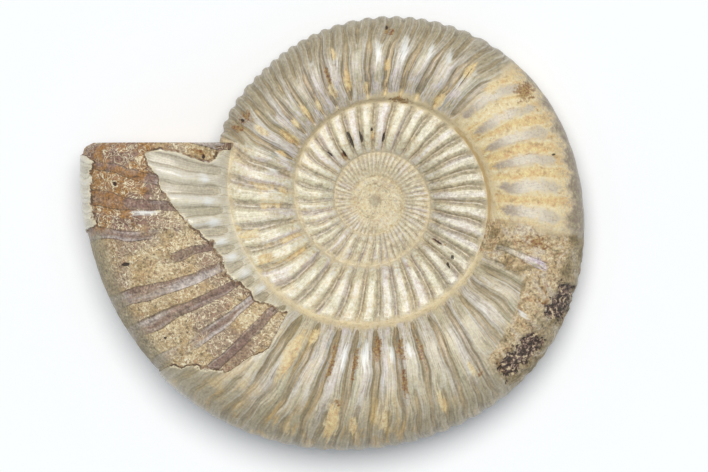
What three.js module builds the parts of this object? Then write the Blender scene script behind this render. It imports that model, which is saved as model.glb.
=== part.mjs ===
// A polished ammonite fossil: a flat coil of ribbed whorls, each wrapped a little way over the one inside it,
// filled with stone and lying on its side. Millimetres, +Z up.
//
// A place along the coil is given by its growth angle, in degrees clockwise from +Y as seen from above. The shell
// grows from CORE_ANGLE to the mouth at MOUTH_ANGLE, so one turn less is the same direction on the whorl inside.

import * as THREE from "three";

const TURN = 360;
const CORE_ANGLE = -1260;
const MOUTH_ANGLE = 292.8;

// Radius of the umbilical seam, the line where a whorl meets the one inside it, at every quarter turn from the core.
const SEAM_START = CORE_ANGLE + TURN;
const SEAM_STEP = 90;
const SEAM_RADII = [
  4.0, 4.8, 5.8, 6.8, 7.9, 9.3, 11.4, 12.9, 15.2, 18.7, 23.2, 26.7, 28.7, 34.3, 41.0,
];

// Radius of the outer rim at every eighth of a turn of the last whorl.
const RIM_START = -90;
const RIM_STEP = 45;
const RIM_RADII = [38.2, 40.3, 43.4, 46.7, 49.4, 54.5, 58.5, 64.7, 69.5, 74.5];

// The section of a whorl. Its widest place is WIDEST of the way from the seam out to the rim.
const MOUTH_HALF_WIDTH = 15;
const WIDTH_GROWTH = 1.87;
const WIDEST = 0.42;
const SEAM_HEIGHT = 0.42;
const SEAM_ROUNDNESS = 2.2;
const RIM_ROUNDNESS = 2.35;

// Stone stands in the middle of the coil, thickest at the axis.
const FILL_HEIGHT = 1.4;
const FILL_RADIUS = 11;

// The mouth is cut off flat across the whorl, parallel to the X axis, and its edge is worn round.
const MOUTH_Y = 13.75;
const MOUTH_SWING = 45;
const LIP_WEAR = [
  { before: 2.4, depth: 0.1 },
  { before: 0.8, depth: 0.8 },
  { before: 0, depth: 2.2 },
];
const FLANK_LIP_SHARE = 0.4;

// Growth angles of some crests (whole numbers) and grooves (halves) of the main ribs, with even ribs between them.
const RIBS = [
  { angle: -545, number: -46 },
  { angle: -404, number: -33.5 },
  { angle: -270, number: -20.5 },
  { angle: -155, number: -8.5 },
  { angle: -64, number: 0.5 },
  { angle: 99, number: 19.5 },
  { angle: 121.5, number: 22.5 },
  { angle: 204, number: 32.5 },
  { angle: 237.5, number: 36.5 },
  { angle: 300, number: 45.2 },
];
const RIBBED_FROM = -545;
const RIB_FADE_IN = 50;

// Half the height from groove to crest is this share of the rib spacing, up to a limit. The ribs lean forward
// towards the rim, and each splits in two over the outer part of the flank.
const RIB_STEEPNESS = 0.1;
const RIB_LIMIT = 0.55;
const SPLIT_RIB_SHARE = 0.6;
const SPLIT_FROM = 0.55;
const SPLIT_TO = 0.72;
const FLANK_LEAN = 1.5;
const RIM_LEAN = 5;
const LEAN_FADE = 28;

// The coil tips a little until its underside touches at three places, and each of them is ground flat.
const TIP_ABOUT_X = -0.5;
const TIP_ABOUT_Y = 2.4;
const GROUND_DEPTH = 1.0;

// Facets: columns across the coil at this share of a rib, and rows from the seam to the rim and over it.
const LAST_WHORL_STEP = 0.25;
const INNER_WHORL_STEP = 0.5;
const CORE_STEP = 18;
const COLUMN_GAP = 1.4;
const FLANK_ROWS = 6;
const RIM_ROWS = 6;

const STONE = { color: 0x9c8873, roughness: 0.38, metalness: 0 };

const { degToRad, radToDeg, clamp, lerp, smoothstep } = THREE.MathUtils;

// The last whorl starts one turn before the mouth: from here on, no other whorl covers its rim.
const OPEN_ANGLE = MOUTH_ANGLE - TURN;

// A smooth curve through radii that stand at even steps of the growth angle.
function smoothRadii(radii, start, step) {
  const curve = new THREE.SplineCurve(radii.map((radius, i) => new THREE.Vector2(start + i * step, radius)));
  const sweep = (radii.length - 1) * step;
  return (angle) => curve.getPoint(clamp((angle - start) / sweep, 0, 1)).y;
}

const seamRadius = smoothRadii(SEAM_RADII, SEAM_START, SEAM_STEP);
const openRimRadius = smoothRadii(RIM_RADII, RIM_START, RIM_STEP);

function halfWidth(angle) {
  return MOUTH_HALF_WIDTH * WIDTH_GROWTH ** ((angle - MOUTH_ANGLE) / TURN);
}

function seamHeight(angle) {
  return SEAM_HEIGHT * halfWidth(Math.max(angle, SEAM_START));
}

// A slope names a line along the whorl: 0 is the rim, 90 the widest line of the upper side, SEAM_SLOPE its seam.
// The next whorl covers what lies between COVER_SLOPE and -COVER_SLOPE. Negative slopes are the underside.
const SEAM_SLOPE = 180 - radToDeg(Math.asin(SEAM_HEIGHT ** (SEAM_ROUNDNESS / 2)));
const COVER_SLOPE = radToDeg(Math.asin((SEAM_HEIGHT * WIDTH_GROWTH) ** (RIM_ROUNDNESS / 2)));

// How far out a slope lies, from 0 at the seam to 1 at the rim.
function reachAt(slope) {
  const side = Math.abs(slope);
  const cosine = Math.cos(degToRad(side));
  if (side <= 90) return WIDEST + (1 - WIDEST) * cosine ** (2 / RIM_ROUNDNESS);
  const inward = cosine / Math.cos(degToRad(SEAM_SLOPE));
  return WIDEST * (1 - inward ** (2 / SEAM_ROUNDNESS));
}

// How high a slope lies, from 0 at the rim to 1 at the widest line, and back to the seam's height.
function heightAt(slope, seam) {
  const side = Math.abs(slope);
  const sine = Math.sin(degToRad(side));
  if (side <= 90) return sine ** (2 / RIM_ROUNDNESS);
  const rise = (sine ** (2 / SEAM_ROUNDNESS) - SEAM_HEIGHT) / (1 - SEAM_HEIGHT);
  return lerp(seam, 1, rise);
}

function rimRadius(angle) {
  const seam = seamRadius(angle);
  const covered = seam + (seamRadius(angle + TURN) - seam) / reachAt(COVER_SLOPE);
  return lerp(covered, openRimRadius(angle), smoothstep(angle, OPEN_ANGLE, OPEN_ANGLE + 30));
}

// Reads one value of the rib list from the other, even between the entries and beyond them.
function readRibs(from, value, to) {
  const next = clamp(RIBS.findIndex((rib) => rib[from] > value), 1, RIBS.length - 1);
  const nextIndex = value >= RIBS.at(-1)[from] ? RIBS.length - 1 : next;
  const a = RIBS[nextIndex - 1];
  const b = RIBS[nextIndex];
  return lerp(a[to], b[to], (value - a[from]) / (b[from] - a[from]));
}
const ribNumber = (angle) => readRibs("angle", angle, "number");
const ribAngle = (number) => readRibs("number", number, "angle");

function ribLean(slope) {
  const reach = reachAt(slope);
  return FLANK_LEAN * reach + RIM_LEAN * smoothstep(reach, 0.5, 1);
}

// Height of the ribs above the smooth section, and below it in the grooves.
function ribHeight(angle, slope) {
  const number = ribNumber(angle - ribLean(slope));
  const spacing = degToRad(ribAngle(number + 1) - ribAngle(number)) * seamRadius(angle + TURN / 3);
  const crest = Math.min(RIB_LIMIT, RIB_STEEPNESS * spacing);
  const shown = smoothstep(angle, RIBBED_FROM - RIB_FADE_IN, RIBBED_FROM);
  const reach = reachAt(slope);
  const main = Math.cos(2 * Math.PI * number);
  const split = -SPLIT_RIB_SHARE * Math.cos(4 * Math.PI * number);
  const share = smoothstep(reach, SPLIT_FROM, SPLIT_TO);
  return shown * crest * lerp(main, split, share) * smoothstep(reach, 0, 0.1);
}

// Growth angle at which the flat mouth stands at a radius.
function mouthAngleAt(radius) {
  return TURN - radToDeg(Math.acos(MOUTH_Y / radius));
}

// Wear of the lip at a growth angle, between the depths given for LIP_WEAR.
function lipWear(before, reach) {
  const next = LIP_WEAR.findIndex((place) => place.before <= before);
  if (next < 0) return 0;
  const b = LIP_WEAR[next];
  const a = LIP_WEAR[next - 1] ?? { before: MOUTH_SWING, depth: 0 };
  const depth = lerp(a.depth, b.depth, clamp((a.before - before) / (a.before - b.before), 0, 1));
  return depth * lerp(FLANK_LIP_SHARE, 1, smoothstep(reach, 0.6, 1)) * smoothstep(reach, 0, 0.2);
}

// A point on the whorl's section at a growth angle, lifted square off the smooth section.
function sectionPoint(angle, slope, lift) {
  const side = degToRad(Math.abs(slope));
  const half = halfWidth(angle);
  const radius = lerp(seamRadius(angle), rimRadius(angle), reachAt(slope)) + lift * Math.cos(side);
  const fill = FILL_HEIGHT * Math.exp(-((radius / FILL_RADIUS) ** 2));
  const height = half * heightAt(slope, seamHeight(angle) / half) + lift * Math.sin(side) + fill;
  const x = radius * Math.sin(degToRad(angle));
  const y = radius * Math.cos(degToRad(angle));
  return new THREE.Vector3(x, y, slope < 0 ? -height : height);
}

// How much of their lean the columns take up. They stand straight at the core, the mouth and the opening.
function leanShare(angle) {
  const away = [CORE_ANGLE, OPEN_ANGLE, MOUTH_ANGLE].map((place) => Math.abs(angle - place));
  return smoothstep(Math.min(...away), 0, LEAN_FADE);
}

// A point of the skin in a column that starts from the seam at this growth angle. Near the mouth the columns
// swing back until the last one stands in the mouth's flat.
function skinPoint(angle, slope) {
  const reach = reachAt(slope);
  const endRadius = lerp(seamRadius(MOUTH_ANGLE), openRimRadius(MOUTH_ANGLE - 10), reach);
  const swing = (MOUTH_ANGLE - mouthAngleAt(endRadius)) * smoothstep(angle, MOUTH_ANGLE - MOUTH_SWING, MOUTH_ANGLE);
  const placed = angle + ribLean(slope) * leanShare(angle) - swing;
  const lift = ribHeight(placed, slope) - lipWear(MOUTH_ANGLE - angle, reach);
  const point = sectionPoint(placed, slope, lift);
  if (angle === MOUTH_ANGLE) point.y = MOUTH_Y;
  return point;
}

// A point on the rim of the inner whorl where the mouth's flat meets it.
function openingPoint(slope) {
  let angle = OPEN_ANGLE;
  for (let step = 0; step < 4; step += 1) {
    const point = sectionPoint(angle, slope, 0);
    angle = mouthAngleAt(Math.hypot(point.x, point.y)) - TURN;
  }
  const point = sectionPoint(angle, slope, 0);
  point.y = MOUTH_Y;
  return point;
}

// Collects points and triangles into one closed skin.
class Skin {
  points = [];
  triangles = [];

  add(point) {
    this.points.push(point);
    return this.points.length - 1;
  }

  triangle(a, b, c) {
    if (a !== b && b !== c && c !== a) this.triangles.push([a, b, c]);
  }

  // Four corners, cut along the shorter way across.
  quad(a, b, c, d) {
    const { points } = this;
    if (points[a].distanceTo(points[c]) < points[b].distanceTo(points[d])) {
      this.triangle(a, b, c);
      this.triangle(a, c, d);
    } else {
      this.triangle(a, b, d);
      this.triangle(b, c, d);
    }
  }

  // Joins two lines whose ends lie side by side. Each entry has a corner and its place along the line.
  zip(first, second) {
    let i = 0;
    let j = 0;
    while (i < first.length - 1 || j < second.length - 1) {
      const nextFirst = first[i + 1]?.place ?? Infinity;
      const nextSecond = second[j + 1]?.place ?? Infinity;
      if (nextFirst <= nextSecond) {
        this.triangle(first[i].corner, first[i + 1].corner, second[j].corner);
        i += 1;
      } else {
        this.triangle(first[i].corner, second[j + 1].corner, second[j].corner);
        j += 1;
      }
    }
  }

  geometry() {
    const geometry = new THREE.BufferGeometry().setFromPoints(this.points);
    geometry.setIndex(this.triangles.flat());
    return geometry;
  }
}

// Growth angles of the columns: even steps in the core, then steps by ribs, with some angles that are always kept.
function columnAngles() {
  const kept = [CORE_ANGLE, SEAM_START, OPEN_ANGLE, ...LIP_WEAR.map(({ before }) => MOUTH_ANGLE - before)];
  const angles = [...kept];
  const addUnlessClose = (angle) => {
    if (kept.every((other) => Math.abs(other - angle) > COLUMN_GAP)) angles.push(angle);
  };
  for (let angle = CORE_ANGLE; angle < RIBBED_FROM - CORE_STEP / 2; angle += CORE_STEP) addUnlessClose(angle);
  let number = ribNumber(RIBBED_FROM);
  while (ribAngle(number) < MOUTH_ANGLE - LIP_WEAR[0].before) {
    addUnlessClose(ribAngle(number));
    number += ribAngle(number) < OPEN_ANGLE - COLUMN_GAP ? INNER_WHORL_STEP : LAST_WHORL_STEP;
  }
  return angles.sort((a, b) => a - b);
}

// Slopes of a whole column, from the upper seam over the rim to the lower seam.
function columnSlopes() {
  const flank = Array.from({ length: FLANK_ROWS }, (_, i) => lerp(SEAM_SLOPE, COVER_SLOPE, i / FLANK_ROWS));
  const rim = Array.from({ length: RIM_ROWS + 1 }, (_, i) => lerp(COVER_SLOPE, -COVER_SLOPE, i / RIM_ROWS));
  return [...flank, ...rim, ...flank.map((slope) => -slope).reverse()];
}

function makeAmmonite() {
  const skin = new Skin();
  const angles = columnAngles();
  const slopes = columnSlopes();
  const upperCover = FLANK_ROWS;
  const lowerCover = FLANK_ROWS + RIM_ROWS;
  const lastRow = slopes.length - 1;
  const start = angles.indexOf(SEAM_START);
  const opening = angles.indexOf(OPEN_ANGLE);
  const mouth = angles.length - 1;

  // The seams come first, because two whorls share them. The core's first turn of seam closes on itself.
  const seams = [0, lastRow].map((row) => {
    const corners = angles.map((angle, i) => (i === start ? -1 : skin.add(skinPoint(angle, slopes[row]))));
    corners[start] = corners[0];
    return corners;
  });

  // One corner for each row of each column, or none where the next whorl covers it.
  const corner = (column, row) => {
    if (row === 0) return seams[0][column];
    if (row === lastRow) return seams[1][column];
    const beyondFlank = row >= upperCover && row <= lowerCover;
    if (column < opening && beyondFlank) return undefined;
    if (column === 0) return seams[row < upperCover ? 0 : 1][0];
    if (column === opening && row === upperCover) return seams[0][mouth];
    if (column === opening && row === lowerCover) return seams[1][mouth];
    const atOpening = column === opening && beyondFlank;
    return skin.add(atOpening ? openingPoint(slopes[row]) : skinPoint(angles[column], slopes[row]));
  };
  const columns = angles.map((_, column) => slopes.map((__, row) => corner(column, row)));

  for (let i = 0; i < mouth; i += 1) {
    for (let row = 0; row < lastRow; row += 1) {
      const corners = [columns[i][row], columns[i + 1][row], columns[i + 1][row + 1], columns[i][row + 1]];
      const fourCorners = corners.every((index) => index !== undefined);
      if (fourCorners) skin.quad(...corners);
    }
  }

  // Between whorls, the outermost row of one is joined to the seam of the next, one turn later.
  const line = (corners, from, to, back) =>
    corners.slice(from, to + 1).map((index, i) => ({ corner: index, place: angles[from + i] - back }));
  const upperEdge = columns.map((column) => column[upperCover - 1]);
  const lowerEdge = columns.map((column) => column[lowerCover + 1]);
  skin.zip(line(upperEdge, 0, opening, 0), line(seams[0], start, mouth, TURN));
  skin.zip(line(seams[1], start, mouth, TURN), line(lowerEdge, 0, opening, 0));

  // The core is closed by a fan on each side, and the mouth by a flat between the two rims.
  const middle = (side) => {
    const rim = skin.points[seams[0][0]];
    const height = rim.z + FILL_HEIGHT * (1 - Math.exp(-((SEAM_RADII[0] / FILL_RADIUS) ** 2)));
    return [{ corner: skin.add(new THREE.Vector3(0, 0, side * height)), place: 0 }];
  };
  skin.zip(middle(1), line(seams[0], 0, start, 0));
  skin.zip(line(seams[1], 0, start, 0), middle(-1));
  const across = (corners) => corners.map((index, i) => ({ corner: index, place: i / (corners.length - 1) }));
  skin.zip(across(columns[opening].slice(upperCover, lowerCover + 1)), across(columns[mouth]));
  return skin.geometry();
}

// Tips the coil, sinks it by the ground depth and flattens what is below the floor. Its middle goes over the origin.
function layDown(geometry) {
  geometry.rotateX(degToRad(TIP_ABOUT_X));
  geometry.rotateY(degToRad(TIP_ABOUT_Y));
  geometry.computeBoundingBox();
  const middle = geometry.boundingBox.getCenter(new THREE.Vector3());
  geometry.translate(-middle.x, -middle.y, -geometry.boundingBox.min.z - GROUND_DEPTH);
  const position = geometry.getAttribute("position");
  for (let i = 0; i < position.count; i += 1) position.setZ(i, Math.max(0, position.getZ(i)));
  geometry.computeVertexNormals();
  return geometry;
}

const ammonite = new THREE.Mesh(layDown(makeAmmonite()), new THREE.MeshStandardMaterial(STONE));
ammonite.name = "ammonite";

const fossil = new THREE.Group();
fossil.add(ammonite);

export default fossil;
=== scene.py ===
"""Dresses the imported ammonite: a polished, ribbed fossil coil that lies on a pale floor and is seen from above.

A place along the coil is given by its growth angle, in degrees clockwise from +Y as seen from above. One turn less
is the same direction on the whorl inside. Lengths are in metres.
"""

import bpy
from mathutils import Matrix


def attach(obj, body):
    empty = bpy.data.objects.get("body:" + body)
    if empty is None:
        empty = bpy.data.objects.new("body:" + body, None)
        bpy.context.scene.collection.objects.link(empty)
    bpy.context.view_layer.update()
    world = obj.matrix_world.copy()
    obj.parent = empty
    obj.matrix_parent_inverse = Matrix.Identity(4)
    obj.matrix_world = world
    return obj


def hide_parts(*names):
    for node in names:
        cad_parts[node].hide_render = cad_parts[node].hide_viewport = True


bl_info = {
    "name": "Polished ammonite",
    "version": (1, 0, 0),
    "blender": (4, 5, 0),
    "location": "View3D > Sidebar > Ammonite",
    "description": "A polished, ribbed fossil coil on a pale floor",
    "category": "Add Mesh",
}

import math

import bpy
import numpy as np
from mathutils import Euler, Matrix, Vector

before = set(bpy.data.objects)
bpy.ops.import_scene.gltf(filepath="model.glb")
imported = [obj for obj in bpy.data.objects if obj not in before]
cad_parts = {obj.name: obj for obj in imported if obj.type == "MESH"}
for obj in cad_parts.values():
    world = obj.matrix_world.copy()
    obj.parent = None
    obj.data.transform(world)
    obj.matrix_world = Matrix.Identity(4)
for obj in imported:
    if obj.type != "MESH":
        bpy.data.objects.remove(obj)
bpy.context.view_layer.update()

MM = 0.001
TURN = 360.0
CORE_ANGLE = -1259.2
SEAM_START = -900.0
MOUTH_ANGLE = 292.8
OPEN_ANGLE = MOUTH_ANGLE - TURN
SECOND_ANGLE = OPEN_ANGLE - TURN
THIRD_ANGLE = SECOND_ANGLE - TURN

# Radius of the seam between two whorls at every quarter turn, and of the open rim at every eighth, in millimetres.
SEAM_RADII = [4.0, 4.8, 5.8, 6.8, 7.9, 9.3, 11.4, 12.9, 15.2, 18.7, 23.2, 26.7, 28.7, 34.3, 41.0]
SEAM_END = 360.0
RIM_RADII = [38.2, 40.3, 43.4, 46.7, 49.4, 54.5, 58.5, 64.7, 69.5, 74.5]
RIM_START = -90.0
RIM_END = 315.0

# The section of a whorl.
WIDEST = 0.42
SEAM_HEIGHT = 0.42
SEAM_ROUNDNESS = 2.2
RIM_ROUNDNESS = 2.35
WIDTH_GROWTH = 1.87
SEAM_SLOPE = 180 - math.degrees(math.asin(SEAM_HEIGHT ** (SEAM_ROUNDNESS / 2)))
COVER_SLOPE = math.degrees(math.asin((SEAM_HEIGHT * WIDTH_GROWTH) ** (RIM_ROUNDNESS / 2)))
FILL_RADIUS = 11 * MM

# The mouth is a flat break: the columns of the skin swing into it over the last degrees. Its worn lip is rounded.
MOUTH_Y = 13.75 * MM
MOUTH_SWING = 45.0
# Growth angles at which the rim's radius is read for the mouth and for the opening under it.
MOUTH_RIM_ANGLE = MOUTH_ANGLE - 10
OPEN_RIM_ANGLE = OPEN_ANGLE - 2
LIP_SPAN = 2.4
LIP_DEPTH = 2.9 * MM

# Stone banked up along the seams: how far it runs up the wall outside a seam and over the whorl inside it, how far
# from the mouth it fades out, in degrees, and the radii over which it grows.
WALL_BANK = 0.8 * MM
FLANK_BANK = 2.0 * MM
BANK_FADE = (4.0, 32.0)
BANK_REACH = (8 * MM, 27 * MM)

# The core is worn flatter than the rest: its height at the middle, the slope from there, and where the wear ends.
CORE_HEIGHT = 0.9 * MM
CORE_SLOPE = 0.12
CORE_WEAR = (4 * MM, 10 * MM)

# Growth angle and number of some ribs: whole numbers are crests and halves are grooves.
RIBS = [(-905, -102), (-545, -45), (-404, -32.5), (-318.8, -24.5), (-270, -19.5), (-155, -7.5), (-63.4, 1.5),
        (-45.7, 3.5), (-30.7, 5.5), (-13.4, 7.5), (5.1, 9.5), (22, 11.5), (42, 13.5), (60, 15.5), (78.9, 17.5),
        (99.3, 19.5), (121.1, 22.5), (162.8, 27.5), (203.9, 32.5), (237.5, 36.5), (300, 45.2)]
# How many degrees a rib leans forward between the seam and the rim.
LEAN = [(-905, 1), (-420, 2.5), (-68, 3.5), (30, 4), (50, 6), (76, 4), (96, 1), (124, 0), (150, 2), (292, 3)]
# Where the ribs split, as a share of 1.
SPLIT_RIBS = [(-905, 1), (40, 1), (48, 0), (98, 0), (106, 1), (293, 1)]
# How far the ribs wander from even steps, in steps from rib to rib.
RIB_WANDER = [(-905, 1.4), (-545, 1.0), (-270, 0.4), (300, 0.4)]
# Width of a groove as a share of the step from rib to rib.
GROOVE_WIDTHS = [(-905, 0.8), (-545, 0.6), (-404, 0.42), (-90, 0.46), (-66, 0.6), (36, 0.56), (46, 0.66), (98, 0.66),
                 (112, 0.62), (140, 0.5), (215, 0.6), (232, 0.85), (292, 0.9)]
# Height of the ribs on the flank and at the rim, as shares of the full height.
FLANK_RIBS = [(-905, 0.3), (-545, 0.4), (-404, 0.7), (-270, 0.9), (-155, 0.9), (-72, 0.9), (-60, 0.95),
              (36, 1.0), (46, 0.25), (100, 0.2), (112, 0.6), (126, 0.7), (220, 0.8), (240, 0.9), (292, 0.8)]
RIM_RIBS = [(-905, 0.3), (-72, 0.6), (-60, 0.5), (34, 0.45), (46, 0.06), (98, 0.08), (110, 0.4), (126, 0.3),
            (140, 0.34), (190, 0.34), (215, 0.16), (232, 0.08), (292, 0.05)]

# Height of the crumb on rough stone, from its lowest places to its highest, and depth of the dark pits.
CRUMB_HEIGHT = 0.9 * MM
PIT_DEPTH = 0.8 * MM
# Points closer than this are welded.
WELD = 0.012 * MM
# How strongly the noise that hollows the broken mouth moves it in.
HOLLOW_SWING = 2.2 * MM

# Rows and columns of the skin. Each whorl inwards has half as many.
FLANK_ROWS = 40
RIM_ROWS = 32
UNDER_ROWS = 26
ROWS = FLANK_ROWS + RIM_ROWS + UNDER_ROWS
LAST_STEP = 0.5
CORE_RINGS = 6
MOUTH_RINGS = 10

# How the coil lies: it tips a little about X and Y, and its axis crosses its middle plane here.
TIP = Euler((math.radians(-0.5), math.radians(2.4), 0))
COIL_CENTRE = Vector((10.02, 7.70, 12.12)) * MM

# Places with a slope above this one, in degrees, are on the upper side.
UPPER_SLOPE = -12.0

# Where the bare stone mould of the body chamber shows, as radii from the coil's axis in millimetres, and how soft
# the step down to it is.
MOULD_START = 214.0
MOULD_EDGE = (-0.1 * MM, 0.14 * MM)
MOULD_INNER_EDGE = [(214, 50), (218, 33.2), (230, 35.6), (240, 37.9), (256, 39.8), (260, 41.5), (266, 46.2),
                    (270, 48.6), (275, 51.7), (283, 55.9), (293, 54.0)]
MOULD_OUTER_EDGE = [(214, 40), (218, 46.2), (221, 54.0), (228, 58.1), (231, 62.1), (233, 72.0), (261, 76.0),
                    (265, 66.5), (278, 66.8), (281, 78.0), (293, 80.0)]

# How far the bare stone reaches back from the mouth, in millimetres, by the distance to -X from the coil's axis.
MOUTH_STONE = [(30, 0.2), (33.1, 0.4), (36.6, 2.6), (39.0, 5.0), (42.5, 3.6), (46.1, 2.4), (50.4, 1.4), (54.4, 2.6),
               (80, 3)]

# The rough stretch starts between these growth angles. It ends at one near the seam and at a later one near the rim.
ROUGH_START = (98.0, 101.0)
ROUGH_END_RADII = (39.5 * MM, 46.0 * MM)
ROUGH_END_ANGLES = (117.0, 145.0)
# Numbers of the ribs that stand out of the rough stretch.
LONG_RIB = 21
SHORT_RIB = 22
# Growth angles of the two clusters of dark pits, the radius that they lie at and half their width.
PIT_CLUSTERS = ((112.0, 125.0), (128.0, 144.5))
PIT_RADIUS = 50.3 * MM
PIT_HALF_WIDTH = 3.2 * MM

# Ground tones of the shell by growth angle.
SHELL_TONES = [(-905, "core_shell"), (-560, "core_shell"), (-430, "pale_shell"), (-72, "pale_shell"),
               (-64, "grey_shell"), (128, "grey_shell"), (150, "warm_shell"), (212, "warm_shell"),
               (240, "mouth_shell"), (292.8, "mouth_shell")]
# How strongly the grooves are coloured, and where the shell is duller.
GROOVE_TONES = [(-905, 0.4), (-545, 0.36), (-404, 0.42), (-90, 0.45), (-60, 0.66), (36, 0.66), (46, 0.5), (100, 0.5),
                (140, 0.5), (165, 0.75), (215, 0.75), (235, 0.45), (292, 0.35)]
DULL_SHELL = [(-905, 0), (-340, 0), (-300, 1), (-230, 1), (-200, 0), (292.8, 0)]
# Width in millimetres and strength of the stone along the seams.
SEAM_STONE_WIDTHS = [(-905, 0.7), (-70, 0.8), (-60, 1.2), (-12, 1.3), (2, 2.4), (20, 2.8), (32, 1.8), (50, 1.9),
                     (110, 1.9), (124, 1.4), (214, 1.4), (240, 0.7), (292, 0.5)]
SEAM_STONE_SHARES = [(-905, 0.1), (-545, 0.4), (-70, 0.6), (-60, 0.85), (50, 0.9), (214, 0.8), (240, 0.4),
                     (292, 0.3)]
# Growth angles between which the finish differs, some with half the width of their soft borders: flat worn ribs, gold
# streaks at the rim, ochre clouds, a painted pearly highlight, thinly and broadly filled grooves, and the dark line
# along the seam.
WORN_STRETCH = (45.0, 99.0)
GILDED_STRETCH = (168.0, 222.0, 8.0)
TINTED_STRETCH = (150.0, 232.0, 8.0)
# Stretches of painted pearly highlight on the inner half of the flank.
SHEEN_STRETCHES = ((-70.0, 42.0, 4.0), (162.0, 202.0, 6.0))
THIN_FILL_STRETCH = (-68.0, 40.0)
BROAD_FILL_STRETCH = (-125.0, -78.0)
SEAM_LINE_STRETCH = (48.0, 112.0)
# The lively streaks end where the bare mould starts, and the darker tone of the rim ends nearer the mouth.
LIVELY_END = (212.0, 226.0)
RIM_TONE_END = (262.0, 250.0)
# The orange stone lies beyond these growth angles and radii.
RICH_START = (262.0, 265.0)
RICH_RADII = (51.0 * MM, 54.0 * MM)

# Patches on the upper side of the last whorls: growth angle, radius, half length along the rib and half width across
# it, in millimetres. Ochre stone in the grooves, pale nacre that mostly stands for painted highlights (white glints),
# dark slits and pores, and rust.
OCHRE_PATCHES = [(-63.4, 24.5, 1.3, 0.8), (-53, 25.2, 2.5, 0.9), (-58, 31.3, 1.8, 0.8), (-45.5, 26.0, 1.4, 0.7),
                 (-37.6, 26.6, 2.2, 0.7), (-30.5, 26.0, 1.3, 0.6), (-20.8, 28.0, 2.4, 0.8), (-12.6, 29.0, 2.6, 0.9),
                 (-15.6, 36.0, 1.6, 0.6), (-4.5, 26.8, 1.4, 0.6), (5.4, 32.0, 1.6, 0.7), (33, 28.2, 1.8, 1.2),
                 (36, 38.0, 2.2, 1.0), (46, 38.5, 2.0, 1.3), (208.7, 41.5, 6.0, 1.5), (190.9, 52.7, 4.8, 1.7),
                 (185.6, 53.3, 2.4, 0.8), (177.5, 51.9, 2.4, 0.7), (161.5, 49.8, 2.6, 0.8), (133.2, 45.3, 2.6, 1.5),
                 (122.2, 48.8, 1.5, 1.5), (150, 45.8, 2.2, 0.6), (204, 35.0, 2.0, 1.2), (-362.3, 15.4, 1.4, 0.35),
                 (-118, 29, 2.0, 1.2), (-105, 30.5, 2.6, 1.0)]
# Painted highlights: white glints on rib crests and shoulders, partly pale nacre.
WHITE_AND_GLINT_PATCHES = [(1.4, 35.0, 3.0, 0.9), (11.3, 36.4, 3.4, 1.0), (20.5, 38.0, 2.4, 0.7), (27.5, 38.2, 2.2, 0.8),
                 (127.5, 43.6, 1.9, 0.6), (267, 55.1, 4.0, 0.6), (277.4, 40.6, 1.4, 1.3), (269.6, 39.2, 1.4, 1.2),
                 (262.4, 38.4, 1.5, 1.2), (255, 37.6, 1.6, 1.1), (248.4, 36.4, 1.6, 1.1), (241.2, 35.2, 1.8, 1.1),
                 (232.5, 34.0, 1.6, 0.7), (-64.5, 24.8, 2.4, 0.5), (-84.5, 24.0, 1.6, 0.5), (-73.5, 24.6, 1.7, 0.6),
                 (183.5, 37.0, 3.4, 1.0), (191.0, 37.5, 3.0, 0.9), (173.5, 36.5, 2.4, 0.8), (167, 35.5, 2.0, 0.6)]
DARK_PATCHES = [(273.7, 61.6, 0.5, 0.5), (243.6, 59.7, 0.9, 0.2), (255.6, 61.1, 1.2, 0.4), (236.8, 59.3, 0.4, 0.4),
                (284.4, 41.5, 0.4, 0.7), (-381.5, 15.7, 1.9, 0.36), (-371.8, 15.5, 1.7, 0.25),
                (-351.6, 15.0, 1.3, 0.28), (-362.0, 16.9, 0.5, 0.3), (-393, 13.4, 1.2, 0.3),
                (-403.8, 14.9, 1.9, 0.18), (-234.2, 22.7, 0.5, 0.5), (-229.1, 22.4, 0.3, 0.5),
                (-228.8, 23.8, 0.4, 0.3), (-233.7, 24.8, 0.4, 0.2), (-237.1, 17.9, 1.3, 0.25),
                (-306, 19.2, 1.0, 0.15), (75.5, 43.8, 1.0, 0.2), (4.0, 41.2, 0.5, 0.3), (52.5, 48.0, 0.6, 0.6),
                (-58.5, 36.4, 0.5, 0.4), (36.2, 36.0, 4.0, 0.12)]
RUST_PATCHES = [(285.8, 43.2, 2.0, 0.6), (170.6, 43.4, 4.0, 0.8), (170.4, 35.4, 3.4, 1.1), (178.8, 34.5, 3.4, 0.9),
                (-62, 36.7, 1.2, 1.0), (-393, 12.6, 0.9, 0.7), (121.0, 46.6, 1.8, 0.5), (104.5, 39.5, 3.2, 1.2),
                (148.5, 47.5, 1.0, 0.8), (186.8, 38.5, 4.0, 0.7), (195.0, 39.5, 4.2, 0.7), (163, 37.0, 4.0, 0.7),
                (-20.5, 31.5, 3.0, 0.5), (-57, 36.0, 1.6, 1.2), (14, 24.6, 0.8, 2.4), (4.5, 40.6, 1.2, 0.7),
                (191.2, 48.4, 0.7, 1.6), (-237.1, 17.9, 1.7, 0.5), (6.0, 40.0, 1.0, 0.4), (54, 43.8, 2.2, 2.4),
                (142.8, 49.8, 2.6, 0.7)]
DARK_DEPTH = 0.35 * MM

# The middle of the picture, measured from the coil's axis.
VIEW_CENTRE = (-4.86 * MM, -8.30 * MM, 0.0)
# The direction that the light comes from.
LAMP_FROM = (0.02, 0.23, 1.0)
# Half the side of the floor in metres, and the width of the camera's sensor in millimetres.
FLOOR_HALF = 3.0
SENSOR_WIDTH = 36.0


def smooth_through(values, pieces=6):
    """Shares of the way and values along a smooth curve through evenly spaced values."""
    last = len(values) - 1
    found = []
    for step in range(last * pieces + 1):
        i = min(step // pieces, last - 1)
        t = step / pieces - i
        a, b, c, d = (values[max(0, min(last, i + k))] for k in (-1, 0, 1, 2))
        bend = (c - a) * t + (2 * a - 5 * b + 4 * c - d) * t * t + (3 * b - a - 3 * c + d) * t ** 3
        found.append((step / pieces / last, b + bend / 2))
    return found


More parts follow.
